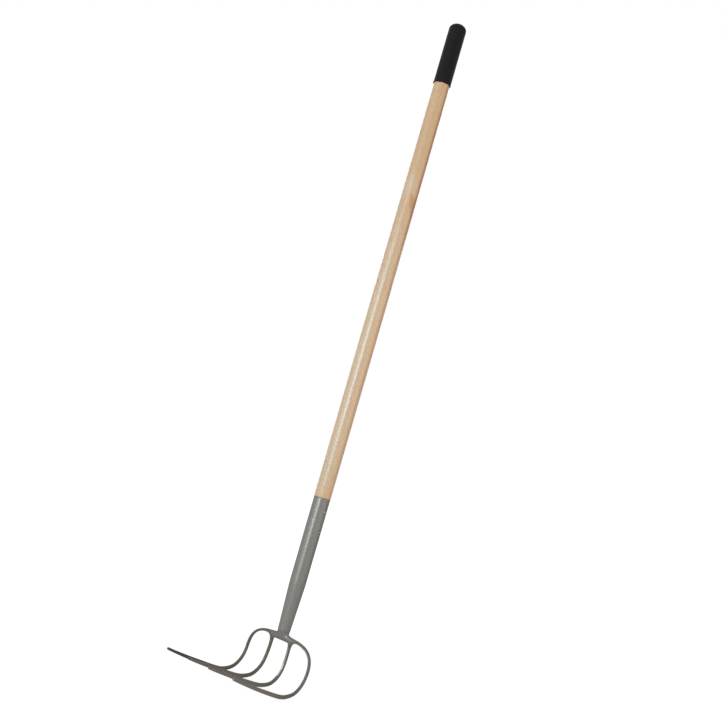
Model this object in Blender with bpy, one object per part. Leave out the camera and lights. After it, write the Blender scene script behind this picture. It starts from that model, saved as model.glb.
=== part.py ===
"""Manure fork with four bent tines on a long ash shaft, in metres.

+Z runs up the shaft, and +X is the way the tines point. The origin is on the shaft's
axis, at the height where a tool clip holds the fork, close to its point of balance.
Heights named here are measured from the mouth of the socket.
"""
import math

import bmesh
import bpy
from mathutils import Vector

GAP = 0.0003                  # left between pieces that touch
MOUTH_Z = -0.082              # the socket's mouth, below the point of balance
SIDES = 32                    # facets round the shaft, the socket and the grip
SHARP_ANGLE = 35              # degrees; edges sharper than this are not shaded smooth
CUT_REACH = 0.001             # a cutter reaches this far past the surface

# Shaft
SHAFT_LENGTH = 1.219          # a 48 inch shaft, tenon included
SHAFT_LOW_RADIUS = 0.01645
SHAFT_SWELL_RADIUS = 0.01655
SHAFT_RIM_RADIUS = 0.0160     # where it enters the grip
SHAFT_TOP_RADIUS = 0.0158
SHAFT_CHAMFER = 0.0015        # height of the eased edges at the mouth and at the tenon's end
SHAFT_EASE = 0.0003           # how far the edge at the mouth is eased in
SHAFT_DOME_RINGS = 5

# Grip
GRIP_TOP = 0.9694             # top of the tool above the socket's mouth
GRIP_LENGTH = 0.127
GRIP_RADIUS = 0.0174
GRIP_WALL = 0.0013
GRIP_END_WALL = 0.003
GRIP_DOME = 0.0125            # height of the domed end
GRIP_DOME_RINGS = 8
GRIP_FLAT_RADIUS = 0.005      # flat in the middle of the domed end
GRIP_LIP = 0.0005             # how far the lower rim stands proud
GRIP_LIP_HEIGHT = 0.004

# Socket
SOCKET_RADIUS = 0.0160
SOCKET_WALL = 0.0020
SOCKET_PARALLEL = 0.169       # length of the parallel part
SOCKET_FOOT = 0.2565          # end of the tube
NECK_FOOT = 0.2635            # where the taper runs into the web
NECK_FOOT_RADIUS = 0.0119
SWAGE_BLEND = 0.012           # length of the soft corner at the start of the taper

# Cross rivets
RIVET_DEPTHS = (0.024, 0.064)
RIVET_SHANK_RADIUS = 0.0020
RIVET_HEAD_RADIUS = 0.0029    # the countersink's radius at the tube's surface
RIVET_SET_BACK = 0.0008       # the heads lie this far below that surface
RIVET_CROWN = 0.6             # flat middle of a head, as a part of its radius
RIVET_SIDES = 20

# Weld
WELD_WIDTH = 0.0033           # from the tube's foot to the neck, gaps included
WELD_PROUD = 0.00015          # dressed almost flush
WELD_FLANK = 0.8              # height a quarter in from its edge, as a part of the middle's

# Head: places on the flat blank are (y, v), with y sideways and v down the tine
CROSSBAR_Z = -0.2724          # centre line of the crossbar, from the socket's mouth
BAR_HALF_HEIGHT = 0.0029
BAR_HALF_DEPTH = 0.0040
WEB_TOP = 0.0065
WEB_BOTTOM = 0.0078
WEB_HALF_DEPTH = 0.0046
NECK_COLLAR = 0.001           # straight stretch of the neck below the weld
NECK_SIDES = 6                # corners of the neck's cage, three on each face of the web
NECK_FLARE = (2.0, 1.3, 1.2)  # web depth under the neck: top middle, top side, low middle
ROOT_SIDES = (0.0036, 0.0068) # the web's columns inside and outside an inner tine's root
ROOT_TOP = (0.82, 0.60)       # fall of the web's top over those two columns
ROOT_BOTTOM = 0.68            # rise of its bottom at the outer one
SHOULDER_RADIUS = 0.0383
SHOULDER_RINGS = 4
SPREAD_INNER = (0.0213, 0.0246, 0.0243)   # half spacing at the root, the bend and the tip
SPREAD_OUTER = (0.0747, 0.0781)           # half spacing below the shoulder and at the tip
INNER_LENGTH = 0.2952
OUTER_LENGTH = 0.3002
BEND_STATIONS = (0.0, 0.049, 0.103, 0.146, 0.300)  # down the tine, for the two rows below
INNER_BEND = (-5.75, 9.5, 83.4, 101.3, 103.8)      # degrees forward of straight down
OUTER_BEND = (-13.0, 5.7, 78.0, 101.8, 105.4)
BEND_STEP = 0.0005                                 # a bend is followed in steps this long
INNER_RINGS = (0.014, 0.030, 0.049, 0.0625, 0.076, 0.0895, 0.103,
               0.124, 0.146, 0.190, 0.235, 0.268, 0.285)
OUTER_RINGS = (0.052, 0.065, 0.078, 0.0905, 0.103, 0.124, 0.146,
               0.190, 0.235, 0.272, 0.290)
SIZE_STATIONS = (0.0, 0.130, 0.200, 0.245)         # down the tine; the rows below end at its point
INNER_HALF_WIDTH = (0.0029, 0.0029, 0.0027, 0.0023, 0.0018)
OUTER_HALF_WIDTH = (0.0026, 0.0027, 0.0026, 0.0022, 0.0018)
TINE_HALF_DEPTH = (0.0039, 0.0041, 0.0040, 0.0031, 0.0023)
POINT_DRAWN = 0.025                                # length over which a point is drawn up
POINT_LIFT = 0.0003                                # how far it is drawn up
POINT_BLUNT = 0.0030                               # length of its blunt end
ROUND = 1 / 0.93              # a four sided cage smooths to a round bar of 0.93 its size
FORGED_LEVELS = 2             # smoothing steps of the head's cage


def socket_radius(depth):
    """Outer radius of the tube, and of the neck that continues it, at a depth."""
    slope = (SOCKET_RADIUS - NECK_FOOT_RADIUS) / (NECK_FOOT - SOCKET_PARALLEL)
    start = depth - SOCKET_PARALLEL
    if start <= -SWAGE_BLEND / 2:
        return SOCKET_RADIUS
    if start >= SWAGE_BLEND / 2:
        return SOCKET_RADIUS - slope * start
    return SOCKET_RADIUS - slope * (start + SWAGE_BLEND / 2) ** 2 / (2 * SWAGE_BLEND)


def tube_depths(last):
    """Depths at which the tube's profile has a point, from the mouth down."""
    blend = [SOCKET_PARALLEL + SWAGE_BLEND * part for part in (-0.5, -0.17, 0.17, 0.5)]
    return [depth for depth in blend if depth < last] + [last]


def dome(radius, top, height, flat, steps):
    """Points of an elliptical dome, from its flat middle down to its full radius."""
    start = math.asin(flat / radius)
    turn = [start + (math.pi / 2 - start) * i / steps for i in range(steps + 1)]
    rise = height / math.cos(start)
    return [(radius * math.sin(a), top - height + rise * math.cos(a)) for a in turn]


def material(name, colour, roughness, metallic=0.0):
    made = bpy.data.materials.new(name)
    made.use_nodes = True
    shader = made.node_tree.nodes["Principled BSDF"]
    shader.inputs["Base Color"].default_value = (*colour, 1.0)
    shader.inputs["Roughness"].default_value = roughness
    shader.inputs["Metallic"].default_value = metallic
    made.diffuse_color = (*colour, 1.0)
    return made


def finish(bm, name, look, origin):
    """Make an object of a mesh, shaded smooth up to the sharp edges."""
    bmesh.ops.recalc_face_normals(bm, faces=bm.faces)
    mesh = bpy.data.meshes.new(name)
    bm.to_mesh(mesh)
    bm.free()
    mesh.shade_smooth()
    mesh.set_sharp_from_angle(angle=math.radians(SHARP_ANGLE))
    mesh.materials.append(look)
    made = bpy.data.objects.new(name, mesh)
    bpy.context.collection.objects.link(made)
    made.parent = origin
    return made


def turned(profile, sides, closed=False):
    """Turn a profile of (radius, height) points about Z."""
    bm = bmesh.new()
    points = [bm.verts.new((radius, 0, height)) for radius, height in profile]
    edges = [bm.edges.new(pair) for pair in zip(points, points[1:])]
    if closed:
        edges.append(bm.edges.new((points[-1], points[0])))
    bmesh.ops.spin(bm, geom=points + edges, axis=(0, 0, 1), cent=(0, 0, 0),
                   angle=math.tau, steps=sides, use_merge=True)
    bmesh.ops.remove_doubles(bm, verts=bm.verts, dist=1e-6)
    return bm


def cut(target, cutter):
    """Take the cutter's shape out of the target."""
    cutter.hide_render = True
    cutter.display_type = 'WIRE'
    hole = target.modifiers.new(cutter.name, 'BOOLEAN')
    hole.operation = 'DIFFERENCE'
    hole.solver = 'EXACT'
    hole.object = cutter


def lay_across(made, depth):
    """Turn a piece made about Z so that it crosses the socket along Y."""
    made.rotation_euler = (math.pi / 2, 0, 0)
    made.location = (0, 0, -depth)


def make_shaft(look, origin):
    top = GRIP_TOP - GRIP_END_WALL - GAP
    rim = GRIP_TOP - GRIP_LENGTH
    end = SHAFT_LENGTH - top
    crown = GRIP_DOME - GRIP_END_WALL
    profile = [(0, top)] + dome(SHAFT_TOP_RADIUS, top, crown, GRIP_FLAT_RADIUS, SHAFT_DOME_RINGS)
    profile.append((SHAFT_RIM_RADIUS, rim))
    profile.append((SHAFT_SWELL_RADIUS, rim / 2))
    profile.append((SHAFT_LOW_RADIUS, SHAFT_CHAMFER + GAP))
    profile.append((SHAFT_LOW_RADIUS - SHAFT_EASE, GAP))
    fit = SOCKET_WALL + GAP
    profile.append((SOCKET_RADIUS - fit, GAP))
    for depth in tube_depths(end - SHAFT_CHAMFER):
        profile.append((socket_radius(depth) - fit, -depth))
    profile.append((socket_radius(end) - fit - SHAFT_CHAMFER, -end))
    profile.append((0, -end))
    made = finish(turned(profile, SIDES), "shaft", look, origin)
    bore_radius = RIVET_SHANK_RADIUS + GAP
    reach = SOCKET_RADIUS + CUT_REACH
    for index, depth in enumerate(RIVET_DEPTHS):
        bore = turned([(0, reach), (bore_radius, reach), (bore_radius, -reach), (0, -reach)],
                      RIVET_SIDES)
        cutter = finish(bore, f"shaft_bore_{index}", look, origin)
        lay_across(cutter, depth)
        cut(made, cutter)
    return made


def make_end_grip(look, origin):
    rim = GRIP_TOP - GRIP_LENGTH
    inner_radius = GRIP_RADIUS - GRIP_WALL
    inner_top = GRIP_TOP - GRIP_END_WALL
    crown = GRIP_DOME - GRIP_END_WALL
    outside = dome(GRIP_RADIUS, GRIP_TOP, GRIP_DOME, GRIP_FLAT_RADIUS, GRIP_DOME_RINGS)
    inside = dome(inner_radius, inner_top, crown, GRIP_FLAT_RADIUS, SHAFT_DOME_RINGS)
    lip = GRIP_RADIUS + GRIP_LIP
    ease = GRIP_WALL / 3
    rim_points = [
        (GRIP_RADIUS, rim + GRIP_LIP_HEIGHT),
        (lip, rim + GRIP_LIP_HEIGHT / 2),
        (lip, rim + ease),
        (lip - ease, rim),
        (inner_radius + ease, rim),
        (inner_radius, rim + ease),
    ]
    profile = [(0, GRIP_TOP)] + outside + rim_points + inside[::-1] + [(0, inner_top)]
    return finish(turned(profile, SIDES), "end_grip", look, origin)


def make_socket(look, origin):
    ease = SOCKET_WALL / 4
    depths = tube_depths(SOCKET_FOOT)
    outside = [(SOCKET_RADIUS - ease, 0), (SOCKET_RADIUS, -ease)]
    outside += [(socket_radius(depth), -depth) for depth in depths]
    inside = [(socket_radius(depth) - SOCKET_WALL, -depth) for depth in depths[::-1]]
    inside.append((SOCKET_RADIUS - SOCKET_WALL, 0))
    made = finish(turned(outside + inside, SIDES, closed=True), "socket", look, origin)
    for index, depth in enumerate(RIVET_DEPTHS):
        hole = turned(countersink(GAP, SOCKET_RADIUS + CUT_REACH), RIVET_SIDES)
        cutter = finish(hole, f"socket_hole_{index}", look, origin)
        lay_across(cutter, depth)
        cut(made, cutter)
    return made


def countersink(room, half_length):
    """Profile of a shank with a cone at each end, grown all round by some room."""
    seat = SOCKET_RADIUS - SOCKET_WALL
    slope = (RIVET_HEAD_RADIUS - RIVET_SHANK_RADIUS) / SOCKET_WALL
    shank = RIVET_SHANK_RADIUS + room
    head = shank + slope * (half_length - seat)
    return [(0, half_length), (head, half_length), (shank, seat),
            (shank, -seat), (head, -half_length), (0, -half_length)]


def make_rivet(name, depth, look, origin):
    half_length = SOCKET_RADIUS - RIVET_SET_BACK
    outline = countersink(0.0, half_length)
    crown = (RIVET_HEAD_RADIUS * RIVET_CROWN, half_length)
    drop = RIVET_HEAD_RADIUS ** 2 / (2 * SOCKET_RADIUS)
    head = (outline[1][0], half_length - drop)
    profile = [outline[0], crown, head, outline[2], outline[3],
               (head[0], -head[1]), (crown[0], -crown[1]), outline[5]]
    made = finish(turned(profile, RIVET_SIDES), name, look, origin)
    lay_across(made, depth)
    return made


def make_weld_bead(look, origin):
    top = SOCKET_FOOT + GAP
    foot = SOCKET_FOOT + WELD_WIDTH - GAP
    middle = (top + foot) / 2
    quarter = (foot - top) / 4
    flank = socket_radius(middle) + WELD_PROUD * WELD_FLANK
    profile = [
        (socket_radius(top) - SOCKET_WALL, -top),
        (socket_radius(top), -top),
        (flank, -(middle - quarter)),
        (socket_radius(middle) + WELD_PROUD, -middle),
        (flank, -(middle + quarter)),
        (socket_radius(foot), -foot),
        (socket_radius(foot) - SOCKET_WALL, -foot),
    ]
    return finish(turned(profile, SIDES, closed=True), "weld_bead", look, origin)


def between(value, places, sizes):
    """Read a size off a line drawn straight through the given places."""
    for (a, b), (p, q) in zip(zip(places, places[1:]), zip(sizes, sizes[1:])):
        if value <= b:
            return p + (q - p) * max(value - a, 0) / (b - a)
    return sizes[-1]


def bent(y, v, bend, lift):
    """Place of a blank's point once the blank is bent, with the ways down and forward there."""
    steps = math.ceil(v / BEND_STEP)
    place = Vector((0, y, CROSSBAR_Z))
    for step in range(steps):
        angle = math.radians(between((step + 0.5) * v / steps, BEND_STATIONS, bend))
        down = Vector((math.sin(angle), 0, -math.cos(angle)))
        place += down * v / steps
    front = Vector((-down.z, 0, down.x))
    return place + front * lift, down, front


def ring_centres(stations, bend):
    """Centres and frames of a bar's rings, set out so that the smoothed bar runs true.

    Smoothing pulls a ring inwards by a sixth of its second difference, so that much is
    added. The stations are (y, v, turn away from the crossbar, lift).
    """
    placed = []
    for y, v, turn, lift in stations:
        centre, down, front = bent(y, v, bend, lift)
        side = Vector((0, math.sin(turn), 0)) - down * math.cos(turn)
        placed.append((centre, side, front))
    centres = [row[0] for row in placed]
    out = [centres[0]]
    for before, here, after in zip(centres, centres[1:], centres[2:]):
        out.append(here - (before - 2 * here + after) / 6)
    out.append(centres[-1])
    return [(centre, row[1], row[2]) for centre, row in zip(out, placed)]


def tine_sizes(v, length, widths):
    places = (*SIZE_STATIONS, length)
    return between(v, places, widths), between(v, places, TINE_HALF_DEPTH)


def point_lift(v, length):
    """The last stretch of a tine is drawn up, as if its point were ground from below."""
    return POINT_LIFT * max(0.0, (v - length + POINT_DRAWN) / POINT_DRAWN) ** 2


def draw_tine(bm, root, rows, side_sign):
    """Carry a bar from its root ring through rows of (centre, side, front, w, d)."""
    ring = root
    for centre, side, front, half_width, half_depth in rows:
        side = Vector((side.x, side.y * side_sign, side.z))
        place = Vector((centre.x, centre.y * side_sign, centre.z))
        across = side * half_width * ROUND
        deep = front * half_depth * ROUND
        corners = [place - across + deep, place + across + deep,
                   place + across - deep, place - across - deep]
        fresh = [bm.verts.new(corner) for corner in corners]
        for i in range(4):
            j = (i + 1) % 4
            bm.faces.new((ring[i], ring[j], fresh[j], fresh[i]))
        ring = fresh
    bm.faces.new(ring)


def inner_rows():
    vs = [*INNER_RINGS, INNER_LENGTH - POINT_BLUNT, INNER_LENGTH]
    places = (0.0, BEND_STATIONS[2], INNER_LENGTH)
    stations = [(between(v, places, SPREAD_INNER), v, math.pi / 2, point_lift(v, INNER_LENGTH))
                for v in vs]
    rows = ring_centres(stations, INNER_BEND)
    return [(*row, *tine_sizes(v, INNER_LENGTH, INNER_HALF_WIDTH)) for row, v in zip(rows, vs)]


def outer_rows():
    straight = SPREAD_OUTER[0] - SHOULDER_RADIUS
    stations = []
    for ring in range(1, SHOULDER_RINGS + 1):
        turn = math.pi / 2 * ring / SHOULDER_RINGS
        y = straight + SHOULDER_RADIUS * math.sin(turn)
        stations.append((y, SHOULDER_RADIUS * (1 - math.cos(turn)), turn, 0.0))
    for v in (*OUTER_RINGS, OUTER_LENGTH - POINT_BLUNT, OUTER_LENGTH):
        y = between(v, (SHOULDER_RADIUS, OUTER_LENGTH), SPREAD_OUTER)
        stations.append((y, v, math.pi / 2, point_lift(v, OUTER_LENGTH)))
    rows = ring_centres(stations, OUTER_BEND)
    return [(*row, *tine_sizes(station[1], OUTER_LENGTH, OUTER_HALF_WIDTH))
            for row, station in zip(rows, stations)]


def web_columns():
    """Half of the web and crossbar as (y, top, bottom, depth at top, depth at bottom)."""
    bar = BAR_HALF_HEIGHT * ROUND
    deep = BAR_HALF_DEPTH * ROUND
    top = WEB_TOP * ROUND
    bottom = WEB_BOTTOM * ROUND
    web = WEB_HALF_DEPTH * ROUND
    root = SPREAD_INNER[0]
    return [
        (0.0, top, bottom, web * NECK_FLARE[0], web * NECK_FLARE[2]),
        (NECK_FOOT_RADIUS, top, bottom, web * NECK_FLARE[1], web),
        (root - ROOT_SIDES[0], WEB_TOP * ROOT_TOP[0], bottom, web, web),
        (root + ROOT_SIDES[1], WEB_TOP * ROOT_TOP[1], WEB_BOTTOM * ROOT_BOTTOM, deep, deep),
        (SPREAD_OUTER[0] - SHOULDER_RADIUS, bar, bar, deep, deep),
    ]


def web_corners(bm, columns):
    """Corners of the web's cage, found by column (0 in the middle), edge and face."""
    grid = {}
    for column, (y, top, bottom, top_depth, bottom_depth) in enumerate(columns):
        for sign in ((1,) if y == 0 else (-1, 1)):
            for edge, height, depth in (("top", top, top_depth), ("low", -bottom, bottom_depth)):
                for face, front in (("front", 1), ("back", -1)):
                    place = (depth * front, y * sign, CROSSBAR_Z + height)
                    grid[column * sign, edge, face] = bm.verts.new(place)
    return grid


def close_web(bm, grid, last):
    """Faces of the web, left open on top for the neck and below for the inner tines."""
    for left in range(-last, last):
        right = left + 1
        for face in ("front", "back"):
            bm.faces.new((grid[left, "top", face], grid[right, "top", face],
                          grid[right, "low", face], grid[left, "low", face]))
        for edge, opened in (("top", (-1, 0)), ("low", (-3, 2))):
            if left not in opened:
                bm.faces.new((grid[left, edge, "front"], grid[right, edge, "front"],
                              grid[right, edge, "back"], grid[left, edge, "back"]))


def make_tine_head(look, origin):
    """Forged head: a cage for the web, with neck and tines drawn out of it."""
    bm = bmesh.new()
    columns = web_columns()
    last = len(columns) - 1
    grid = web_corners(bm, columns)
    close_web(bm, grid, last)
    for sign in (-1, 1):
        root = [grid[2 * sign, "low", "front"], grid[3 * sign, "low", "front"],
                grid[3 * sign, "low", "back"], grid[2 * sign, "low", "back"]]
        draw_tine(bm, root, inner_rows(), sign)
        end = [grid[last * sign, "low", "front"], grid[last * sign, "top", "front"],
               grid[last * sign, "top", "back"], grid[last * sign, "low", "back"]]
        draw_tine(bm, end, outer_rows(), sign)
    draw_neck(bm, grid)
    made = finish(bm, "tine_head", look, origin)
    smooth = made.modifiers.new("forged", 'SUBSURF')
    smooth.levels = FORGED_LEVELS
    smooth.render_levels = FORGED_LEVELS
    return made


def draw_neck(bm, grid):
    """Raise the round neck from the middle of the web to the foot of the socket."""
    order = [(1, "front"), (0, "front"), (-1, "front"), (-1, "back"), (0, "back"), (1, "back")]
    ring = [grid[column, "top", face] for column, face in order]
    neck_top = SOCKET_FOOT + WELD_WIDTH
    swell = 6 / (4 + 2 * math.cos(math.tau / NECK_SIDES))   # undoes the smoothing's pull inwards
    for height in (NECK_FOOT, neck_top + NECK_COLLAR, neck_top):
        radius = socket_radius(height) * swell
        fresh = []
        for i in range(NECK_SIDES):
            angle = math.tau * (i + 0.5) / NECK_SIDES
            fresh.append(bm.verts.new((radius * math.sin(angle), radius * math.cos(angle), -height)))
        for i in range(NECK_SIDES):
            j = (i + 1) % NECK_SIDES
            bm.faces.new((ring[i], ring[j], fresh[j], fresh[i]))
        ring = fresh
    cap = bm.faces.new(ring)
    crease = bm.edges.layers.float.new("crease_edge")
    for edge in cap.edges:
        edge[crease] = 1.0


def main():
    for old in list(bpy.data.objects):
        bpy.data.objects.remove(old, do_unlink=True)
    ash = material("oiled_ash", (0.60, 0.44, 0.28), 0.45)
    steel = material("grey_painted_steel", (0.21, 0.205, 0.19), 0.4)
    vinyl = material("black_vinyl", (0.022, 0.021, 0.021), 0.6)
    bare = material("bare_steel", (0.52, 0.44, 0.36), 0.35, 1.0)
    origin = bpy.data.objects.new("tool_frame", None)
    origin.location = (0, 0, MOUTH_Z)
    bpy.context.collection.objects.link(origin)
    make_shaft(ash, origin)
    make_end_grip(vinyl, origin)
    make_socket(steel.copy(), origin)
    make_weld_bead(steel.copy(), origin)
    make_tine_head(steel, origin)
    for name, depth in zip(("rivet_upper", "rivet_lower"), RIVET_DEPTHS):
        make_rivet(name, depth, bare.copy(), origin)


main()
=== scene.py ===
"""Looks of a long handled manure fork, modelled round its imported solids.

Every length is in metres. +Z runs up the shaft and +X is the way the tines point.
"""
import math

import bpy
from bpy.props import FloatProperty, FloatVectorProperty, PointerProperty
from mathutils import Matrix, Vector


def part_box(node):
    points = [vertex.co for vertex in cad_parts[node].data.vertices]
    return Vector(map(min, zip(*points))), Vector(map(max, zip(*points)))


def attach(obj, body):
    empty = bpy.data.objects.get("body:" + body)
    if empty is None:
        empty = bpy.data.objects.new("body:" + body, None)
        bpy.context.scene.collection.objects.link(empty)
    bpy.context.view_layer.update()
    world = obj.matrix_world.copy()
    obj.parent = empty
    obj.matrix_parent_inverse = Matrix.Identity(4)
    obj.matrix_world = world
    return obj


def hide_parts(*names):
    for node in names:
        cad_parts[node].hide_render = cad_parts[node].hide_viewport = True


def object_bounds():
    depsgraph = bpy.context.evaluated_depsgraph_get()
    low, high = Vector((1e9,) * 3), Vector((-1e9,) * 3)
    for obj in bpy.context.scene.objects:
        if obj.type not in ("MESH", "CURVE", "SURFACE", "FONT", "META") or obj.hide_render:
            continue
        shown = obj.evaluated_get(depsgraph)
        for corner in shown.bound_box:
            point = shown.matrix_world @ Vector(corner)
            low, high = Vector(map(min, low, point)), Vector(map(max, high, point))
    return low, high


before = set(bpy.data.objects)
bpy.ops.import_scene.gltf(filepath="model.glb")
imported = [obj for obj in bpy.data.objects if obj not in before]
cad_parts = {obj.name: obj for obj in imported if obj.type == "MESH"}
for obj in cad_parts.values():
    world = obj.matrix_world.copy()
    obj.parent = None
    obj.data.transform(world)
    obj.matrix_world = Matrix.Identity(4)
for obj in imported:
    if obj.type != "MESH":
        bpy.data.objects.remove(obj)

bl_info = {
    "name": "Manure fork",
    "version": (1, 0, 0),
    "blender": (4, 5, 0),
    "location": "3D View > Sidebar > Fork",
    "description": "Models the visible pieces of a long handled manure fork",
    "category": "Add Mesh",
}

CAD_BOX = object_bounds()

# Sizes of the solids
SHAFT_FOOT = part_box("shaft")[0].z
SHAFT_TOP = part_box("shaft")[1].z
SHAFT_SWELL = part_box("shaft")[1].x
GRIP_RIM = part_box("end_grip")[0].z
GRIP_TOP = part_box("end_grip")[1].z
GRIP_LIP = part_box("end_grip")[1].x
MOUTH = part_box("socket")[1].z
TUBE_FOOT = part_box("socket")[0].z
TUBE_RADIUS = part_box("socket")[1].x
WELD_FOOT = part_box("weld_bead")[0].z
WELD_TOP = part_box("weld_bead")[1].z
WELD_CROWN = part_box("weld_bead")[1].x
RIVETS = ("rivet_upper", "rivet_lower")
FLOOR = CAD_BOX[0].z

# Sizes that the boxes don't give
GAP = 0.0003
SHAFT_LOW = 0.01645
SHAFT_RIM = 0.0160
SHAFT_END = 0.0158
SHAFT_EASE = 0.0008
GRIP_BODY = 0.0174
GRIP_WALL = 0.0013
GRIP_END_WALL = 0.003
GRIP_DOME = 0.0125
GRIP_FLAT = 0.005
GRIP_LIP_HEIGHT = 0.004
GRIP_RIM_ROUND = 0.6
TUBE_WALL = 0.002
TAPER_START = 0.169
TAPER_END = 0.2635
TAPER_BLEND = 0.012
MOUTH_ROUND = 0.5
NECK_RADIUS = 0.0119
RIVET_SHANK = 0.0020
RIVET_HEAD = 0.0029
DRILL_OVERRUN = 0.001
WELD_LAP = 0.0007
WELD_SKIN = 0.00003
SMOOTHING_LOSS = 0.00004

# How finely the pieces are modelled
TURNED_SIDES = 96
RIVET_SIDES = 40
SHAFT_DOME_STEPS = 10
GRIP_DOME_STEPS = 16
TAPER_STEPS = 8
QUARTERS = (0.0, 0.25, 0.5, 0.75, 1.0)
WELD_STEPS = (0.0, 0.17, 0.33, 0.5, 0.67, 0.83, 1.0)
RIVET_STEPS = (0.3, 0.6, 0.85, 1.0)
MERGE_DISTANCE = 1e-6
SMOOTH_ANGLE = math.radians(35)
HEAD_SMOOTH_ANGLE = math.radians(60)
QUAD_FACE_ANGLE = math.radians(40)
QUAD_SHAPE_ANGLE = math.radians(60)


class ForkFinish(bpy.types.PropertyGroup):
    """Colours and gloss of the fork."""

    ash: FloatVectorProperty(
        name="Ash", description="Colour of the wood between its ring lines",
        subtype='COLOR', size=3, min=0, max=1, default=(0.585, 0.438, 0.276))
    ash_line: FloatVectorProperty(
        name="Ring lines", description="Colour of the open grain of each year's ring",
        subtype='COLOR', size=3, min=0, max=1, default=(0.45, 0.31, 0.18))
    ring_width: FloatProperty(
        name="Ring width", description="Width of one year's ring in the wood",
        subtype='DISTANCE', unit='LENGTH', min=0.0005, max=0.01, default=0.0026)
    paint: FloatVectorProperty(
        name="Socket paint", description="Colour of the satin paint on the socket",
        subtype='COLOR', size=3, min=0, max=1, default=(0.222, 0.218, 0.204))
    head_paint: FloatVectorProperty(
        name="Head paint", description="Colour of the paint on the forged head",
        subtype='COLOR', size=3, min=0, max=1, default=(0.200, 0.190, 0.177))
    paint_roughness: FloatProperty(
        name="Paint roughness", description="How much the paint blurs what it reflects",
        subtype='FACTOR', min=0, max=1, default=0.255)
    vinyl: FloatVectorProperty(
        name="Vinyl", description="Colour of the grip",
        subtype='COLOR', size=3, min=0, max=1, default=(0.0105, 0.0098, 0.0095))
    rivet: FloatVectorProperty(
        name="Rivets", description="Colour of the bare rivets",
        subtype='COLOR', size=3, min=0, max=1, default=(0.56, 0.455, 0.375))


class ForkStage(bpy.types.PropertyGroup):
    """Light and background."""

    key_power: FloatProperty(
        name="Key light", description="Power of the tall soft light on the left",
        unit='POWER', min=0, default=48.5)
    wing_power: FloatProperty(
        name="Wing light", description="Power of the dim soft light further to the left",
        unit='POWER', min=0, default=8.0)
    fill_power: FloatProperty(
        name="Fill light", description="Power of the soft light on the right",
        unit='POWER', min=0, default=26.0)
    back_power: FloatProperty(
        name="Back light", description="Power of the soft light behind the fork",
        unit='POWER', min=0, default=32.0)
    top_power: FloatProperty(
        name="Top light", description="Power of the soft light high up on the left",
        unit='POWER', min=0, default=3.0)
    room_level: FloatProperty(
        name="Room", description="Level of the even light from all round",
        min=0, max=1, default=0.12)


class Wire:
    """A node's output, for shader maths written as Python expressions."""

    def __init__(self, look, socket):
        self.look = look
        self.socket = socket

    def maths(self, operation, first, second=0.0):
        return self.look.node('ShaderNodeMath', {"operation": operation}, {0: first, 1: second})

    def __add__(self, other):
        return self.maths('ADD', self, other)

    def __sub__(self, other):
        return self.maths('SUBTRACT', self, other)

    def __rsub__(self, other):
        return self.maths('SUBTRACT', other, self)

    def __mul__(self, other):
        return self.maths('MULTIPLY', self, other)

    def __truediv__(self, other):
        return self.maths('DIVIDE', self, other)

    def __pow__(self, other):
        return self.maths('POWER', self, other)

    __radd__ = __add__
    __rmul__ = __mul__

    def part(self):
        """What follows the decimal point."""
        return self.maths('FRACT', self)

    def span(self, low, high):
        """0 below low, 1 above high, and a smooth rise between them."""
        return self.look.node('ShaderNodeMapRange', {"interpolation_type": 'SMOOTHSTEP'},
                              {"Value": self, "From Min": low, "From Max": high})

    def fade(self, low, high):
        """1 below low, 0 above high, and a smooth fall between them."""
        return 1 - self.span(low, high)

    def between(self, low, high):
        """Low where this is 0, and high where it is 1."""
        return self * (high - low) + low

    def swing(self, width):
        """A noise from 0 to 1, moved to lie evenly about 0, with a width in all."""
        return (self - 0.5) * width

    def beside(self, name):
        """Another output of the same node."""
        return Wire(self.look, self.socket.node.outputs[name])


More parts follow.
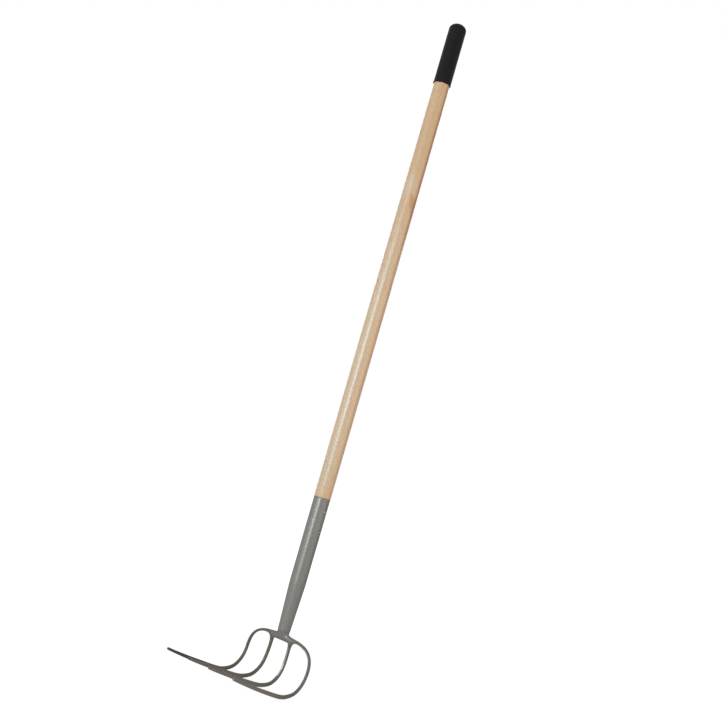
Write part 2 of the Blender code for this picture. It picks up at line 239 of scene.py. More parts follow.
class Look:
    """A material, or the world's light, and the nodes that make it."""

    def __init__(self, owner):
        owner.use_nodes = True
        self.owner = owner
        self.tree = owner.node_tree
        self.surface = self.tree.nodes.get("Principled BSDF") or self.tree.nodes["Background"]

    def feed(self, socket, value):
        """Link a wire to a socket, or give the socket a value of its own."""
        if isinstance(value, Wire):
            self.tree.links.new(value.socket, socket)
        else:
            socket.default_value = value

    def node(self, kind, settings, sockets, output=0):
        """Add a node, with its settings first and then the values or links of its sockets."""
        made = self.tree.nodes.new(kind)
        for name, value in settings.items():
            setattr(made, name, value)
        for name, value in sockets.items():
            self.feed(made.inputs[name], value)
        return Wire(self, made.outputs[output])

    def place(self):
        """Where a point lies on the fork, in metres."""
        return self.node('ShaderNodeTexCoord', {}, {}, 'Object')

    def axes(self):
        """The three coordinates of a point on the fork."""
        x = self.node('ShaderNodeSeparateXYZ', {}, {"Vector": self.place()}, "X")
        return x, x.beside("Y"), x.beside("Z")

    def towards(self, azimuth):
        """How far a point of the shaft lies towards an azimuth, from -1 behind it to 1."""
        x, y, _ = self.axes()
        return (x * math.cos(azimuth) + y * math.sin(azimuth)) / SHAFT_SWELL

    def facing(self, direction):
        """How far the surface faces a direction, as a cosine."""
        normal = self.node('ShaderNodeTexCoord', {}, {}, 'Normal')
        return self.node('ShaderNodeVectorMath', {"operation": 'DOT_PRODUCT'},
                         {0: normal, 1: direction}, 'Value')

    def noise(self, across, along, detail):
        """Noise from 0 to 1 with so many waves to the metre across the fork and along it."""
        point = self.node('ShaderNodeMapping', {},
                          {"Vector": self.place(), "Scale": (across, across, along)})
        return self.node('ShaderNodeTexNoise', {}, {"Vector": point, "Scale": 1.0, "Detail": detail})

    def patch(self, centre, across, along):
        """1 at a place on the fork, falling to 0 at a reach across it and along it."""
        scale = (1 / across, 1 / across, 1 / along)
        start = tuple(-place * size for place, size in zip(centre, scale))
        point = self.node('ShaderNodeMapping', {},
                          {"Vector": self.place(), "Location": start, "Scale": scale})
        return self.node('ShaderNodeTexGradient', {"gradient_type": 'SPHERICAL'},
                         {"Vector": point}, "Fac")

    def mix(self, factor, first, second, kind='MIX'):
        """Go from one colour to another, as far as a factor says."""
        settings = {"data_type": 'RGBA', "blend_type": kind, "clamp_factor": True}
        return self.node('ShaderNodeMix', settings, {0: factor, 6: first, 7: second}, 2)

    def tint(self, factor, colour, tint):
        """Multiply a colour by a tint, as far as a factor says."""
        return self.mix(factor, colour, tint, 'MULTIPLY')

    def bump(self, height, depth):
        """Raise the surface by a height from 0 to 1, which stands for a depth in metres."""
        normal = self.node('ShaderNodeBump', {}, {"Height": height, "Strength": 1.0, "Distance": depth})
        self.feed(self.surface.inputs["Normal"], normal)

    def set(self, values):
        """Give the surface's own sockets their values or links."""
        for name, value in values.items():
            self.feed(self.surface.inputs[name], value)


def new_look(name):
    return Look(bpy.data.materials.new(name))


def opaque(colour):
    return (*colour, 1.0)


def shade(colour, level):
    """A colour made lighter or darker."""
    return tuple(min(1.0, part * level) for part in colour) + (1.0,)


def around(azimuth, height):
    """A place on the shaft's surface, by its angle from +X and its height."""
    return math.cos(azimuth) * SHAFT_SWELL, math.sin(azimuth) * SHAFT_SWELL, height


# The wood's noises: waves to the metre across the shaft and along it, and detail
WANDER = (22.0, 1.6, 1.0)
WAVER = (120.0, 9.0, 2.0)
PORES = (2600.0, 70.0, 2.0)
FIBRES = (1500.0, 16.0, 3.0)
BANDS = (330.0, 7.0, 2.0)
TONE = (34.0, 3.0, 2.0)
DRIFT = (60.0, 5.0, 2.0)
SWIRL = (300.0, 60.0, 2.0)

# The rings: where their pith stands and how it leans, how far they stray from true
# circles, and which part of a year is open early wood or the line that ends it
PITH = Vector((0.052, -0.046))
PITH_LEAN = Vector((0.011, -0.006))
WANDER_WIDTH = 0.011
WAVER_WIDTH = 0.0009
EARLY_WOOD = (0.0, 0.46)
YEAR_END = (0.9, 1.0)
EARLY_DEPTH = 0.72
YEAR_END_DEPTH = 0.4
RING_DEPTH = 0.62

# The grain: the levels of noise between which each kind starts to show, and how much
PORE_REACH = (0.57, 0.68)
PORE_SPREAD = (0.1, 0.85)
PORE_DEPTH = 0.3
PORE_SHADE = 0.45
FIBRE_REACH = (0.3, 0.7)
FIBRE_DEPTH = 0.18
FIBRE_SHADE = 1.08
GREY_BAND = (0.60, 0.46, 0.305, 1.0)
GREY_REACH = (0.45, 0.70)
GREY_DEPTH = 0.22
PINK_BAND = (0.68, 0.445, 0.29, 1.0)
PINK_REACH = (0.30, 0.52)
PINK_DEPTH = 0.34
TONE_REACH = (0.35, 0.72)
TONE_DEPTH = 0.30

# Painted warm light on the right side of the shaft, and a browner painted shade along that side that
# starts part way up it
DRIFT_WIDTH = 0.2
WARM_LIGHT_AZIMUTH = math.radians(124)
PAINTED_WARM_LIGHT = (1.26, 1.13, 1.00, 1.0)
WARM_LIGHT_REACH = (-0.12, 0.80)
SHADED_SIDE_AZIMUTH = math.radians(108)
PAINTED_SIDE_SHADE = (0.70, 0.49, 0.25, 1.0)
SHADED_SIDE_REACH = (0.80, 0.97)
SHADED_SIDE_DRIFT = 0.4
SHADED_SIDE_START = (0.40, 0.48)
SHADED_SIDE_LEVEL = (0.22, 1.0)

# The shaft's two ends: painted shade towards the top, where less light falls, and a warmer tint just
# above the mouth
TOP_PAINTED_SHADE = (1.00, 0.915, 0.80, 1.0)
TOP_REACH = (0.36, 0.60)
MOUTH_TINT = (1.02, 0.95, 0.85, 1.0)
MOUTH_REACH = 0.045

# The knot, the red flame that slants down beside it, and the pale figure above
KNOT_AZIMUTH = math.radians(52)
KNOT_HEIGHT = 0.523
KNOT_SIZE = (0.016, 0.040)
KNOT_BULGE = 0.006
FLAME_TINT = (0.87, 0.68, 0.47, 1.0)
FLAME_TOP = 0.534
FLAME_NARROW = 0.007
FLAME_TOP_SLANT = 0.015
FLAME_FOOT_SLANT = 0.050
FLAME_TOP_EDGE = (-0.003, 0.003)
FLAME_FOOT_EDGE = (-0.014, 0.006)
FLAME_POINT = (-0.22, 0.35)
FLAME_BACK = (-0.5, 0.25)
SWIRL_WIDTH = 0.004
PALE_TURN = math.radians(42)
PALE_RISE = 0.026
PALE_SIZE = (0.020, 0.038)
PALE_DEPTH = 0.42
PALE_FIGURE = (0.64, 0.56, 0.45, 1.0)

# The lacquer, and how deep the grain lies under it
LACQUER_ROUGHNESS = (0.245, 0.345)
LACQUER_LEVEL = 0.74
LACQUER_TINT = (0.5, 0.78, 0.94, 1.0)
GRAIN_SHARE = 0.4
GRAIN_DEPTH = 0.00003


def ash_rings(look, ring_width):
    """Where a year's ring is open early wood, and where it ends.

    The rings lie round a pith that stands beside the shaft and leans a little, so they
    run out of the turned surface in long pointed arches, and they bulge round the knot.
    """
    x, y, z = look.axes()
    knot = look.patch(around(KNOT_AZIMUTH, KNOT_HEIGHT), *KNOT_SIZE)
    side = x - PITH.x - z * PITH_LEAN.x + look.noise(*WANDER).swing(WANDER_WIDTH)
    deep = y - PITH.y - z * PITH_LEAN.y
    waver = look.noise(*WAVER).swing(WAVER_WIDTH)
    from_pith = (side * side + deep * deep) ** 0.5 + waver + knot * KNOT_BULGE
    year = (from_pith / ring_width).part()
    return year.fade(*EARLY_WOOD), year.span(*YEAR_END)


def ash_figure(look, wood):
    """Add painted warm light and browner painted shade on the shaft's right side, painted shade towards
    its top, a warmer tint above its mouth, and its knot.
    """
    z = look.axes()[2]
    drift = look.noise(*DRIFT).swing(DRIFT_WIDTH)
    # Painted warm light on the right side, and browner painted shade along that side higher up
    warm_light_side = look.towards(WARM_LIGHT_AZIMUTH)
    wood = look.tint((warm_light_side + drift).span(*WARM_LIGHT_REACH), wood, PAINTED_WARM_LIGHT)
    shaded_side = (look.towards(SHADED_SIDE_AZIMUTH) + drift * SHADED_SIDE_DRIFT).span(*SHADED_SIDE_REACH)
    shaded_side_level = z.span(*SHADED_SIDE_START).between(*SHADED_SIDE_LEVEL)
    wood = look.tint(shaded_side * shaded_side_level, wood, PAINTED_SIDE_SHADE)
    # Painted shade towards the top
    wood = look.tint(z.span(*TOP_REACH), wood, TOP_PAINTED_SHADE)
    wood = look.tint(z.fade(MOUTH, MOUTH + MOUTH_REACH), wood, MOUTH_TINT)
    foot = z - (FLAME_TOP - FLAME_NARROW) + warm_light_side * FLAME_FOOT_SLANT
    crest = z - FLAME_TOP + warm_light_side * FLAME_TOP_SLANT + look.noise(*SWIRL).swing(SWIRL_WIDTH)
    flame = foot.span(*FLAME_FOOT_EDGE) * crest.fade(*FLAME_TOP_EDGE)
    flame = flame * warm_light_side.span(*FLAME_POINT) * look.towards(KNOT_AZIMUTH).span(*FLAME_BACK)
    wood = look.tint(flame, wood, FLAME_TINT)
    pale = look.patch(around(KNOT_AZIMUTH - PALE_TURN, KNOT_HEIGHT + PALE_RISE), *PALE_SIZE)
    return look.mix(pale.span(0.0, 1.0) * PALE_DEPTH, wood, PALE_FIGURE)


def ash_look(finish):
    """Straight grained ash under a thin satin lacquer."""
    look = new_look("turned_ash")
    early, year_end = ash_rings(look, finish.ring_width)
    line = early * (1 - year_end) * EARLY_DEPTH + year_end * YEAR_END_DEPTH
    pores = look.noise(*PORES).span(*PORE_REACH) * early.between(*PORE_SPREAD)
    fibres = look.noise(*FIBRES)
    bands = look.noise(*BANDS)
    tone = look.noise(*TONE)
    wood = look.mix(line * RING_DEPTH, opaque(finish.ash), opaque(finish.ash_line))
    wood = look.mix(fibres.span(*FIBRE_REACH) * FIBRE_DEPTH, wood, shade(finish.ash_line, FIBRE_SHADE))
    wood = look.mix(bands.span(*GREY_REACH) * GREY_DEPTH, wood, GREY_BAND)
    wood = look.mix(bands.fade(*PINK_REACH) * PINK_DEPTH, wood, PINK_BAND)
    wood = look.mix(tone.span(*TONE_REACH) * TONE_DEPTH, wood, PINK_BAND)
    wood = ash_figure(look, wood)
    wood = look.mix(pores * PORE_DEPTH, wood, shade(finish.ash_line, PORE_SHADE))
    look.set({"Base Color": wood, "Roughness": fibres.between(*LACQUER_ROUGHNESS),
              "Specular IOR Level": LACQUER_LEVEL, "Specular Tint": LACQUER_TINT})
    look.bump(fibres * GRAIN_SHARE + (1 - pores) * GRAIN_SHARE, GRAIN_DEPTH)
    return look.owner


# The paint's orange peel, its clouds and its dust, and how they show
PEEL = (420.0, 420.0, 2.0)
PEEL_DEPTH = 0.000004
CLOUD = (42.0, 26.0, 3.0)
CLOUD_REACH = (0.3, 0.75)
CLOUD_DEPTH = 0.16
CLOUD_SHADE = 0.88
DUST = (1900.0, 1900.0, 1.0)
DUST_REACH = (0.72, 0.80)
DUST_DEPTH = 0.08
DUST_SHADE = 1.5
GLOSS_WIDTH = 0.04
PAINT_METAL = 0.24
PAINT_LEVEL = 0.05
PAINT_EDGE_TINT = (0.1, 0.1, 0.1, 1.0)

# The head's legs are darker below and beside the web, and so is its left half, both with painted shade.
# The runs of the tines are paler with painted light, but not the outer left one, which is darker with
# painted shade, and their tips are darker in patches
LEG_PAINTED_SHADE = (0.80, 0.77, 0.735, 1.0)
LEG_TOP = (-0.366, -0.353)
LEG_SIDE = (0.022, 0.036)
LEFT_PAINTED_SHADE = (0.88, 0.855, 0.83, 1.0)
LEFT_REACH = (-0.030, 0.0)
RUN_PAINTED_LIGHT = (1.42, 1.40, 1.42, 1.0)
RUN_REACH = (0.03, 0.10)
OUTER_LEFT_PAINTED_SHADE = (0.54, 0.49, 0.47, 1.0)
OUTER_LEFT_REACH = (-0.060, -0.045)
TIP_REACH = (0.220, 0.230)
TIP_GRAIN = (0.2, 0.5)
TIP_DEPTH = 0.85
TIP_SHADE = 0.25

# Painted highlights at the head's glints: centre, reach across and along, the way they face, and
# strength
HIGHLIGHT_SHADE = 3.0
HIGHLIGHT_EDGE = (0.0, 0.35)
HIGHLIGHT_FACING = (0.82, 0.94)
PAINTED_HIGHLIGHTS = (
    ((0.0035, 0.0225, -0.388), 0.014, 0.022, (0.99, 0.0, 0.10), 0.35),
    ((0.0088, 0.0230, -0.4125), 0.014, 0.015, (0.91, 0.0, 0.41), 1.0),
    ((0.0012, 0.0664, -0.369), 0.012, 0.016, (0.98, -0.17, 0.0), 0.45),
)


def forged_paint(look, paint, colour, peel):
    """Shade the paint over the forged head with painted shade, painted light and painted highlights,
    and darken its tips in patches.
    """
    x, y, z = look.axes()
    legs = z.fade(*LEG_TOP) + (y * y).span(LEG_SIDE[0] ** 2, LEG_SIDE[1] ** 2)
    runs = x.span(*RUN_REACH)
    # Painted shade on the legs and the left half, painted light on the runs, and painted shade on the
    # outer left run
    paint = look.tint(legs, paint, LEG_PAINTED_SHADE)
    paint = look.tint(y.fade(*LEFT_REACH), paint, LEFT_PAINTED_SHADE)
    paint = look.tint(runs, paint, RUN_PAINTED_LIGHT)
    paint = look.tint(runs * y.fade(*OUTER_LEFT_REACH), paint, OUTER_LEFT_PAINTED_SHADE)
    # Painted highlights: paler paint where the surface faces the way each glint comes from
    for centre, across, along, side, strength in PAINTED_HIGHLIGHTS:
        facing = look.facing(side).span(*HIGHLIGHT_FACING)
        highlight = look.patch(centre, across, along).span(*HIGHLIGHT_EDGE) * facing
        paint = look.mix(highlight * strength, paint, shade(colour, HIGHLIGHT_SHADE))
    tips = x.span(*TIP_REACH) * peel.span(*TIP_GRAIN)
    return look.mix(tips * TIP_DEPTH, paint, shade(colour, TIP_SHADE))


def paint_look(finish, name, colour, forged=False):
    """Satin metallic paint with a faint orange peel, a little dust and uneven gloss."""
    look = new_look(name)
    peel = look.noise(*PEEL)
    cloud = look.noise(*CLOUD)
    dust = look.noise(*DUST).span(*DUST_REACH)
    paint = look.mix(cloud.span(*CLOUD_REACH) * CLOUD_DEPTH, opaque(colour), shade(colour, CLOUD_SHADE))
    paint = look.mix(dust * DUST_DEPTH, paint, shade(colour, DUST_SHADE))
    if forged:
        # On the head: painted shade, painted light and painted highlights
        paint = forged_paint(look, paint, colour, peel)
    gloss = finish.paint_roughness + cloud.swing(GLOSS_WIDTH) + dust * GLOSS_WIDTH
    look.set({"Base Color": paint, "Roughness": gloss, "Metallic": PAINT_METAL,
              "Specular IOR Level": PAINT_LEVEL, "Specular Tint": PAINT_EDGE_TINT})
    look.bump(peel, PEEL_DEPTH)
    return look.owner


# The grip's leathery skin and its cloudy bloom
SKIN = (1700.0, 1700.0, 3.0)
SKIN_DEPTH = 0.00005
BLOOM = (60.0, 30.0, 2.0)
BLOOM_REACH = (0.3, 0.75)
BLOOM_DEPTH = 0.5
BLOOM_SHADE = 1.45
VINYL_ROUGHNESS = (0.48, 0.66)
VINYL_LEVEL = 0.08


def vinyl_look(finish):
    """Matte dipped vinyl, with a fine leathery skin."""
    look = new_look("black_vinyl")
    skin = look.noise(*SKIN)
    bloom = look.noise(*BLOOM).span(*BLOOM_REACH) * BLOOM_DEPTH
    vinyl = look.mix(bloom, opaque(finish.vinyl), shade(finish.vinyl, BLOOM_SHADE))
    look.set({"Base Color": vinyl, "Roughness": skin.between(*VINYL_ROUGHNESS),
              "Specular IOR Level": VINYL_LEVEL})
    look.bump(skin, SKIN_DEPTH)
    return look.owner


# The hammer's marks on the rivets, and the painted shadow round the middle of each head: the middle
# lies a little below its centre and fades into the shadow between two radii, so the shadow is deepest
# in the upper part of the recess
MARKS = (900.0, 900.0, 2.0)
MARK_REACH = (0.35, 0.7)
MARK_SHADE = 0.7
MARK_STRENGTH = 0.4
MARK_DEPTH = 0.00008
RIVET_ROUGHNESS = (0.34, 0.59)
UNSHADED_DROP = 0.0010
UNSHADED_REACH = (0.0014, 0.0024)
PAINTED_RECESS_SHADOW = 0.06


def unshaded_middle(look, node):
    """1 on the middle of a rivet's heads, and 0 in the painted shadow round it."""
    x, _, z = look.axes()
    up = z - (rivet_height(node) - UNSHADED_DROP)
    return (x * x + up * up).fade(UNSHADED_REACH[0] ** 2, UNSHADED_REACH[1] ** 2)


def rivet_look(finish):
    """Bare steel that was hammered flat, with painted shadow in the upper part of its recess."""
    look = new_look("hammered_rivet")
    marks = look.noise(*MARKS)
    hollows = marks.span(*MARK_REACH) * MARK_STRENGTH
    steel = look.mix(hollows, opaque(finish.rivet), shade(finish.rivet, MARK_SHADE))
    # Painted shadow: the heads darken round their middles, most in the upper part of the recess
    upper, lower = (unshaded_middle(look, node) for node in RIVETS)
    steel = look.mix(upper + lower, shade(finish.rivet, PAINTED_RECESS_SHADOW), steel)
    look.set({"Base Color": steel, "Metallic": 1.0, "Roughness": marks.between(*RIVET_ROUGHNESS)})
    look.bump(marks, MARK_DEPTH)
    return look.owner


def edit():
    """Go into edit mode with everything selected."""
    bpy.ops.object.mode_set(mode='EDIT')
    bpy.ops.mesh.select_all(action='SELECT')


def leave_edit():
    bpy.ops.object.mode_set(mode='OBJECT')


def finish_mesh():
    """Merge doubles, turn the faces outwards and leave edit mode."""
    bpy.ops.mesh.select_all(action='SELECT')
    bpy.ops.mesh.remove_doubles(threshold=MERGE_DISTANCE)
    bpy.ops.mesh.normals_make_consistent(inside=False)
    leave_edit()


def apply_modifier(piece, name, kind, **settings):
    """Add a modifier, set it and apply it."""
    modifier = piece.modifiers.new(name, kind)
    for key, value in settings.items():
        setattr(modifier, key, value)
    bpy.context.view_layer.objects.active = piece
    bpy.ops.object.modifier_apply(modifier=name)


def start_ring(name, radius, height, sides):
    """Add the ring that a turned piece starts from, with its place in its mesh."""
    bpy.ops.object.select_all(action='DESELECT')
    bpy.ops.mesh.primitive_circle_add(vertices=sides, radius=radius, location=(0, 0, height))
    bpy.ops.object.transform_apply(location=True, rotation=True, scale=True)
    piece = bpy.context.object
    piece.name = name
    piece.data.name = name
    return piece


def turned(name, profile, hollow=False, sides=TURNED_SIDES):
    """Turn a profile of (radius, height): a ring is extruded and scaled from point to point.

    A solid piece has a flat at each end, and a hollow one closes on its first ring.
    """
    radius, height = profile[0]
    piece = start_ring(name, radius, height, sides)
    edit()
    if not hollow:
        bpy.ops.mesh.edge_face_add()
        bpy.ops.mesh.select_all(action='SELECT')
    for next_radius, next_height in profile[1:]:
        move = {"value": (0, 0, next_height - height)}
        bpy.ops.mesh.extrude_region_move(TRANSFORM_OT_translate=move)
        scale = next_radius / radius
        bpy.ops.transform.resize(value=(scale, scale, 1), center_override=(0, 0, next_height))
        radius, height = next_radius, next_height
    if hollow:
        bpy.ops.mesh.select_all(action='DESELECT')
        bpy.ops.mesh.select_non_manifold()
        bpy.ops.mesh.bridge_edge_loops()
    finish_mesh()
    return piece


def lay_across(piece, height):
    """Turn a piece made about Z so that it lies along Y, at a height."""
    piece.data.transform(Matrix.Translation((0, 0, height)) @ Matrix.Rotation(math.pi / 2, 4, 'X'))


def drill(piece, profile, height):
    """Cut a turned shape out of a piece, across it along Y."""
    cutter = turned("drill", profile, sides=RIVET_SIDES)
    lay_across(cutter, height)
    apply_modifier(piece, "hole", 'BOOLEAN', operation='DIFFERENCE', solver='EXACT', object=cutter)
    bpy.data.objects.remove(cutter)


def dress(piece, look, node, angle=SMOOTH_ANGLE):
    """Shade a piece, give it its look, and let it stand for its solid."""
    bpy.ops.object.select_all(action='DESELECT')
    piece.select_set(True)
    bpy.context.view_layer.objects.active = piece
    bpy.ops.object.shade_smooth_by_angle(angle=angle)
    piece.data.materials.clear()
    piece.data.materials.append(look)
    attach(piece, "root")
    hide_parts(node)


def dome(radius, top, height, flat, steps):
    """Points of a rounded end, from its flat middle down to its full radius."""
    start = math.asin(flat / radius)
    rise = height / math.cos(start)
    turn = [start + (math.pi / 2 - start) * i / steps for i in range(steps + 1)]
    return [(radius * math.sin(a), top - height + rise * math.cos(a)) for a in turn]


def rounded(turns, radius, width, height, rise):
    """Points round an edge, at parts of a half turn that goes from its outer side to its inner.

    The edge reaches a width to each side of a radius. Its middle is at a height, and its
    sides lie a rise above that.
    """
    return [(radius + width * math.cos(turn * math.pi), height + rise * (1 - math.sin(turn * math.pi)))
            for turn in turns]


def tube_radius(depth):
    """Outer radius of the socket at a depth below its mouth."""
    slope = (TUBE_RADIUS - NECK_RADIUS) / (TAPER_END - TAPER_START)
    start = depth - TAPER_START
    if start <= -TAPER_BLEND / 2:
        return TUBE_RADIUS
    if start >= TAPER_BLEND / 2:
        return TUBE_RADIUS - slope * start
    return TUBE_RADIUS - slope * (start + TAPER_BLEND / 2) ** 2 / (2 * TAPER_BLEND)


def tube_depths(last):
    """Depths of the rings along the socket, close together where its taper starts."""
    blend = [TAPER_START + TAPER_BLEND * (i / TAPER_STEPS - 0.5) for i in range(TAPER_STEPS + 1)]
    return [depth for depth in blend if depth < last] + [last]


def countersink(room, half_length):
    """Profile of a rivet: a shank with a cone at each end, grown by some room."""
    seat = TUBE_RADIUS - TUBE_WALL
    slope = (RIVET_HEAD - RIVET_SHANK) / TUBE_WALL
    shank = RIVET_SHANK + room
    head = shank + slope * (half_length - seat)
    return [(head, half_length), (shank, seat), (shank, -seat), (head, -half_length)]


def rivet_height(node):
    low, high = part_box(node)
    return (low.z + high.z) / 2


class FORK_OT_shaft(bpy.types.Operator):
    """Turn the ash shaft, with its tenon and the bores for the rivets"""

    bl_idname = "fork.shaft"
    bl_label = "Shaft"

    def execute(self, context):
        profile = dome(SHAFT_END, SHAFT_TOP, GRIP_DOME - GRIP_END_WALL, GRIP_FLAT, SHAFT_DOME_STEPS)
        profile.append((SHAFT_RIM, GRIP_RIM))
        profile.append((SHAFT_SWELL, (GRIP_RIM + MOUTH) / 2))
        shoulder = MOUTH + GAP
        profile += rounded([turn / 2 for turn in QUARTERS], SHAFT_LOW - SHAFT_EASE, SHAFT_EASE,
                           shoulder, SHAFT_EASE)
        fit = TUBE_WALL + GAP
        profile.append((TUBE_RADIUS - fit, shoulder))
        end = MOUTH - SHAFT_FOOT
        for depth in tube_depths(end - SHAFT_EASE):
            profile.append((tube_radius(depth) - fit, MOUTH - depth))
        profile.append((tube_radius(end) - fit - SHAFT_EASE, SHAFT_FOOT))
        shaft = turned("shaft_turned", profile)
        bore = RIVET_SHANK + GAP
        for node in RIVETS:
            drill(shaft, [(bore, TUBE_RADIUS), (bore, -TUBE_RADIUS)], rivet_height(node))
        dress(shaft, ash_look(context.scene.fork_finish), "shaft")
        return {'FINISHED'}


class FORK_OT_end_grip(bpy.types.Operator):
    """Mould the grip: a thin vinyl cap with a rounded end and a lip at its rim"""

    bl_idname = "fork.end_grip"
    bl_label = "End grip"

    def execute(self, context):
        profile = dome(GRIP_BODY, GRIP_TOP, GRIP_DOME, GRIP_FLAT, GRIP_DOME_STEPS)
        for turn in QUARTERS[1:]:
            swell = (1 - math.cos(turn * math.pi)) / 2
            profile.append((GRIP_BODY + (GRIP_LIP - GRIP_BODY) * swell,
                            GRIP_RIM + GRIP_LIP_HEIGHT * (1 - turn / 2)))
        inner = GRIP_BODY - GRIP_WALL
        half_wall = (GRIP_LIP - inner) / 2
        profile += rounded(QUARTERS, inner + half_wall, half_wall, GRIP_RIM, half_wall * GRIP_RIM_ROUND)
        inside = dome(inner, GRIP_TOP - GRIP_END_WALL, GRIP_DOME - GRIP_END_WALL, GRIP_FLAT,
                      SHAFT_DOME_STEPS)
        grip = turned("end_grip_moulded", profile + inside[::-1])
        dress(grip, vinyl_look(context.scene.fork_finish), "end_grip")
        return {'FINISHED'}


class FORK_OT_socket(bpy.types.Operator):
    """Draw the socket: a swaged tube with a rounded mouth and countersunk rivet holes"""

    bl_idname = "fork.socket"
    bl_label = "Socket"

    def execute(self, context):
        depths = tube_depths(MOUTH - TUBE_FOOT)
        half_wall = TUBE_WALL / 2
        profile = rounded(QUARTERS[::-1], TUBE_RADIUS - half_wall, half_wall,
                          MOUTH, -half_wall * MOUTH_ROUND)
        profile += [(tube_radius(depth), MOUTH - depth) for depth in depths]
        profile += [(tube_radius(depth) - TUBE_WALL, MOUTH - depth) for depth in depths[::-1]]
        socket = turned("socket_drawn", profile, hollow=True)
        for node in RIVETS:
            drill(socket, countersink(GAP, TUBE_RADIUS + DRILL_OVERRUN), rivet_height(node))
        finish = context.scene.fork_finish
        look = paint_look(finish, "socket_paint", finish.paint)
        dress(socket, look, "socket")
        return {'FINISHED'}


class FORK_OT_weld_bead(bpy.types.Operator):
    """Lay the weld between the socket and the head, dressed almost flush"""

    bl_idname = "fork.weld_bead"
    bl_label = "Weld bead"

    def execute(self, context):
        top = MOUTH - WELD_TOP
        foot = MOUTH - WELD_FOOT
        proud = WELD_CROWN - tube_radius((top + foot) / 2)
        profile = [(tube_radius(top) - TUBE_WALL, WELD_TOP), (tube_radius(top) - WELD_SKIN, WELD_TOP)]
        for part in WELD_STEPS:
            depth = top - WELD_LAP + (foot - top + 2 * WELD_LAP) * part
            swell = proud * math.sin(part * math.pi)
            profile.append((tube_radius(depth) + WELD_SKIN + swell, MOUTH - depth))
        profile.append((tube_radius(foot) - WELD_SKIN, WELD_FOOT))
        profile.append((tube_radius(foot) - TUBE_WALL, WELD_FOOT))
        weld = turned("weld_dressed", profile, hollow=True)
        finish = context.scene.fork_finish
        look = paint_look(finish, "weld_paint", finish.paint)
        dress(weld, look, "weld_bead")
        return {'FINISHED'}


class FORK_OT_tine_head(bpy.types.Operator):
    """Forge the head: the solid's own surface, made whole and smoothed once more"""

    bl_idname = "fork.tine_head"
    bl_label = "Tine head"

    def execute(self, context):
        bpy.ops.object.select_all(action='DESELECT')
        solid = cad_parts["tine_head"]
        head = solid.copy()
        head.data = solid.data.copy()
        for key in list(head.keys()):
            del head[key]
        head.name = "tine_head_forged"
        head.data.name = "tine_head_forged"
        head.parent = None
        context.scene.collection.objects.link(head)
        head.select_set(True)
        context.view_layer.objects.active = head
        edit()
        bpy.ops.mesh.remove_doubles(threshold=MERGE_DISTANCE)
        bpy.ops.mesh.tris_convert_to_quads(face_threshold=QUAD_FACE_ANGLE,
                                           shape_threshold=QUAD_SHAPE_ANGLE)
        finish_mesh()
        apply_modifier(head, "smooth", 'SUBSURF', levels=1, render_levels=1)
        edit()
        bpy.ops.transform.shrink_fatten(value=SMOOTHING_LOSS)
        leave_edit()
        finish = context.scene.fork_finish
        look = paint_look(finish, "head_paint", finish.head_paint, forged=True)
        dress(head, look, "tine_head", HEAD_SMOOTH_ANGLE)
        return {'FINISHED'}


class FORK_OT_rivets(bpy.types.Operator):
    """Set the two cross rivets, with their heads hammered into the countersinks"""

    bl_idname = "fork.rivets"
    bl_label = "Rivets"

    def execute(self, context):
        look = rivet_look(context.scene.fork_finish)
        drop = RIVET_HEAD ** 2 / (2 * TUBE_RADIUS)
        for node in RIVETS:
            half_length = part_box(node)[1].y
            sides = countersink(0.0, half_length)
            head_radius = sides[0][0]
            crown = [(head_radius * part, half_length - drop * part ** 2) for part in RIVET_STEPS]
            far_crown = [(radius, -height) for radius, height in crown[::-1]]
            rivet = turned(f"{node}_set", crown + sides[1:3] + far_crown, sides=RIVET_SIDES)
            lay_across(rivet, rivet_height(node))
            dress(rivet, look, node)
        return {'FINISHED'}


# The floor: it is a little dimmer near the fork's foot than further off, so that the
# shadow shows
FLOOR_SIZE = 60
FLOOR_DROP = 0.0002
FLOOR_GRAIN = (60.0, 60.0, 2.0)
FLOOR_SHADES = ((0.80, 0.80, 0.80, 1.0), (0.84, 0.84, 0.84, 1.0))
FLOOR_ROUGHNESS = 0.9
FLOOR_REACH = (0.5, 2.0)
FLOOR_NEAR = (0.86, 0.86, 0.86, 1.0)
FLOOR_LIT = (0.3, 0.3, 0.3, 1.0)
WHITE = (1.0, 1.0, 1.0, 1.0)

# Lamps: name, angle from the camera round the fork, distance, height, size, colour, and
# the height on the fork's axis that they are aimed at
LAMPS = (
    ("key", -30, 2.4, 0.02, (1.05, 1.72), (0.96, 1.0, 1.03), 0.25),
    ("wing", -60, 2.4, 0.02, (1.0, 1.72), (0.96, 1.0, 1.03), 0.25),
    ("fill", 60, 2.4, 0.3, (2.6, 2.6), (1.0, 0.90, 0.79), 0.25),
    ("back", 180, 2.3, 1.5, (1.7, 1.7), (1.0, 1.0, 1.0), 0.25),
    ("top", -50, 1.5, 1.7, (0.9, 0.9), (1.0, 1.0, 1.0), 0.0),
)

# The camera, fitted to the photograph
CAMERA_AZIMUTH = math.radians(34)
CAMERA_DISTANCE = 2.1352
CAMERA_HEIGHT = 0.0353
CAMERA_PITCH = 0.0723
CAMERA_YAW = -0.00034
CAMERA_ROLL = 0.2817
CAMERA_FOCAL_PIXELS = 1105.0
PICTURE_WIDTH = 724
SENSOR_WIDTH = 36.0


def seen(look):
    """1 for what the camera sees directly, or in gloss or glass, and 0 for light that falls."""
    camera = look.node('ShaderNodeLightPath', {}, {}, "Is Camera Ray")
    gloss = camera.maths('MAXIMUM', camera, camera.beside("Is Glossy Ray"))
    return camera.maths('MAXIMUM', gloss, camera.beside("Is Transmission Ray"))


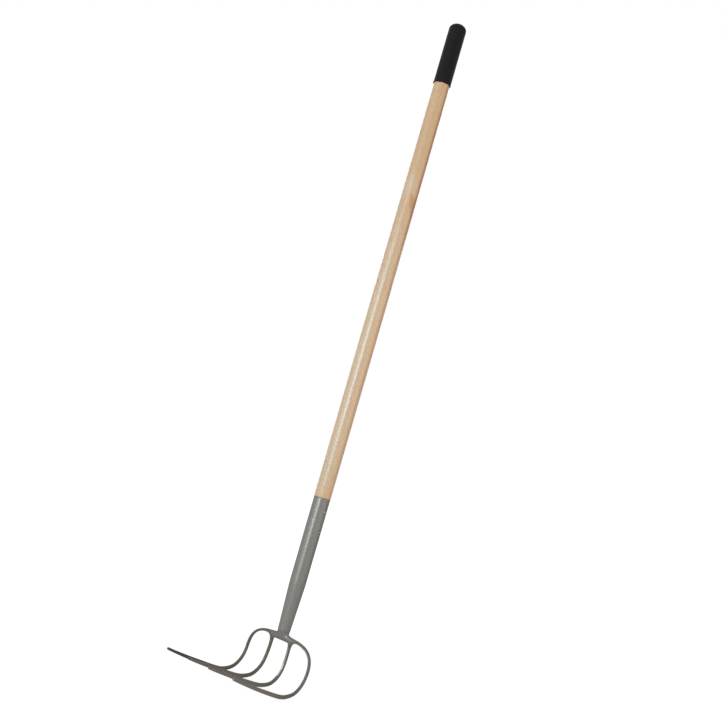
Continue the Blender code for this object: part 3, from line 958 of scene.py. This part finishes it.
def floor_look():
    """A pale floor that is seen as white, and keeps the fork's shadow close to it."""
    look = new_look("pale_floor")
    look.set({"Base Color": look.mix(look.noise(*FLOOR_GRAIN), *FLOOR_SHADES),
              "Roughness": FLOOR_ROUGHNESS})
    x, y, _ = look.axes()
    far = ((x * x + y * y) ** 0.5).span(*FLOOR_REACH)
    glow = look.node('ShaderNodeEmission', {}, {"Color": look.mix(far, FLOOR_NEAR, WHITE)})
    lit = look.node('ShaderNodeBsdfDiffuse', {}, {"Color": FLOOR_LIT})
    bright = look.node('ShaderNodeAddShader', {}, {0: glow, 1: lit})
    plain = Wire(look, look.surface.outputs[0])
    mixed = look.node('ShaderNodeMixShader', {}, {0: seen(look), 1: plain, 2: bright})
    look.feed(look.tree.nodes["Material Output"].inputs["Surface"], mixed)
    return look.owner


def lay_floor():
    """Lay the pale floor just under the fork's lowest point."""
    bpy.ops.object.select_all(action='DESELECT')
    bpy.ops.mesh.primitive_plane_add(size=FLOOR_SIZE, location=(0, 0, FLOOR - FLOOR_DROP))
    bpy.ops.object.transform_apply(location=True, rotation=True, scale=True)
    floor = bpy.context.object
    floor.name = "floor"
    floor.data.materials.append(floor_look())


def light_room(level):
    """Even light from all round, with a white background."""
    look = Look(bpy.data.worlds.new("studio"))
    bpy.context.scene.world = look.owner
    look.set({"Color": WHITE, "Strength": seen(look).between(level, 1)})


def add_softbox(name, power, azimuth, distance, height, size, colour, target):
    """Add a soft lamp, placed round the fork and aimed at a height on its axis."""
    place = Vector((math.cos(azimuth) * distance, math.sin(azimuth) * distance, height))
    bpy.ops.object.light_add(type='AREA', location=place)
    lamp = bpy.context.object
    lamp.name = name
    lamp.rotation_euler = (Vector((0, 0, target)) - place).to_track_quat('-Z', 'Y').to_euler()
    lamp.data.shape = 'RECTANGLE'
    lamp.data.size, lamp.data.size_y = size
    lamp.data.energy = power
    lamp.data.color = colour


def set_camera(scene):
    """Stand the camera where the photograph was taken, with its tilt, roll and lens."""
    bpy.ops.object.camera_add()
    camera = bpy.context.object
    camera.name = "camera"
    back = Vector((math.cos(CAMERA_AZIMUTH), math.sin(CAMERA_AZIMUTH), 0))
    level = math.cos(CAMERA_PITCH)
    ahead = Vector((-back.x * level, -back.y * level, math.sin(CAMERA_PITCH)))
    ahead = Matrix.Rotation(CAMERA_YAW, 3, 'Z') @ ahead
    right = ahead.cross(Vector((0, 0, 1))).normalized()
    up = right.cross(ahead)
    rolled_right = right * math.cos(CAMERA_ROLL) + up * math.sin(CAMERA_ROLL)
    rolled_up = up * math.cos(CAMERA_ROLL) - right * math.sin(CAMERA_ROLL)
    turn = Matrix((rolled_right, rolled_up, -ahead)).transposed()
    place = back * CAMERA_DISTANCE + Vector((0, 0, CAMERA_HEIGHT))
    camera.matrix_world = Matrix.Translation(place) @ turn.to_4x4()
    camera.data.sensor_width = SENSOR_WIDTH
    camera.data.lens = SENSOR_WIDTH * CAMERA_FOCAL_PIXELS / PICTURE_WIDTH
    camera.data.dof.use_dof = False
    scene.camera = camera


class FORK_OT_stage(bpy.types.Operator):
    """Lay the floor, light the room and set the camera"""

    bl_idname = "fork.stage"
    bl_label = "Stage"

    def execute(self, context):
        stage = context.scene.fork_stage
        lay_floor()
        light_room(stage.room_level)
        for name, angle, distance, height, size, colour, target in LAMPS:
            azimuth = CAMERA_AZIMUTH + math.radians(angle)
            power = getattr(stage, f"{name}_power")
            add_softbox(f"{name}_light", power, azimuth, distance, height, size, colour, target)
        set_camera(context.scene)
        context.scene.view_settings.view_transform = 'Standard'
        return {'FINISHED'}


class FORK_PT_panel(bpy.types.Panel):
    """The fork's pieces and finishes"""

    bl_idname = "FORK_PT_panel"
    bl_label = "Manure fork"
    bl_space_type = 'VIEW_3D'
    bl_region_type = 'UI'
    bl_category = "Fork"

    def draw(self, context):
        for group in (context.scene.fork_finish, context.scene.fork_stage):
            box = self.layout.box()
            for name in group.bl_rna.properties.keys():
                if name not in ("rna_type", "name"):
                    box.prop(group, name)
        for operator in OPERATORS:
            self.layout.operator(operator.bl_idname)


OPERATORS = (FORK_OT_shaft, FORK_OT_end_grip, FORK_OT_socket, FORK_OT_weld_bead,
             FORK_OT_tine_head, FORK_OT_rivets, FORK_OT_stage)
CLASSES = (ForkFinish, ForkStage, *OPERATORS, FORK_PT_panel)


def register():
    for made in CLASSES:
        bpy.utils.register_class(made)
    bpy.types.Scene.fork_finish = PointerProperty(type=ForkFinish)
    bpy.types.Scene.fork_stage = PointerProperty(type=ForkStage)


def unregister():
    del bpy.types.Scene.fork_stage
    del bpy.types.Scene.fork_finish
    for made in reversed(CLASSES):
        bpy.utils.unregister_class(made)


def main():
    register()
    bpy.ops.fork.shaft()
    bpy.ops.fork.end_grip()
    bpy.ops.fork.socket()
    bpy.ops.fork.weld_bead()
    bpy.ops.fork.tine_head()
    bpy.ops.fork.rivets()
    bpy.ops.fork.stage()


if __name__ == "__main__":
    main()
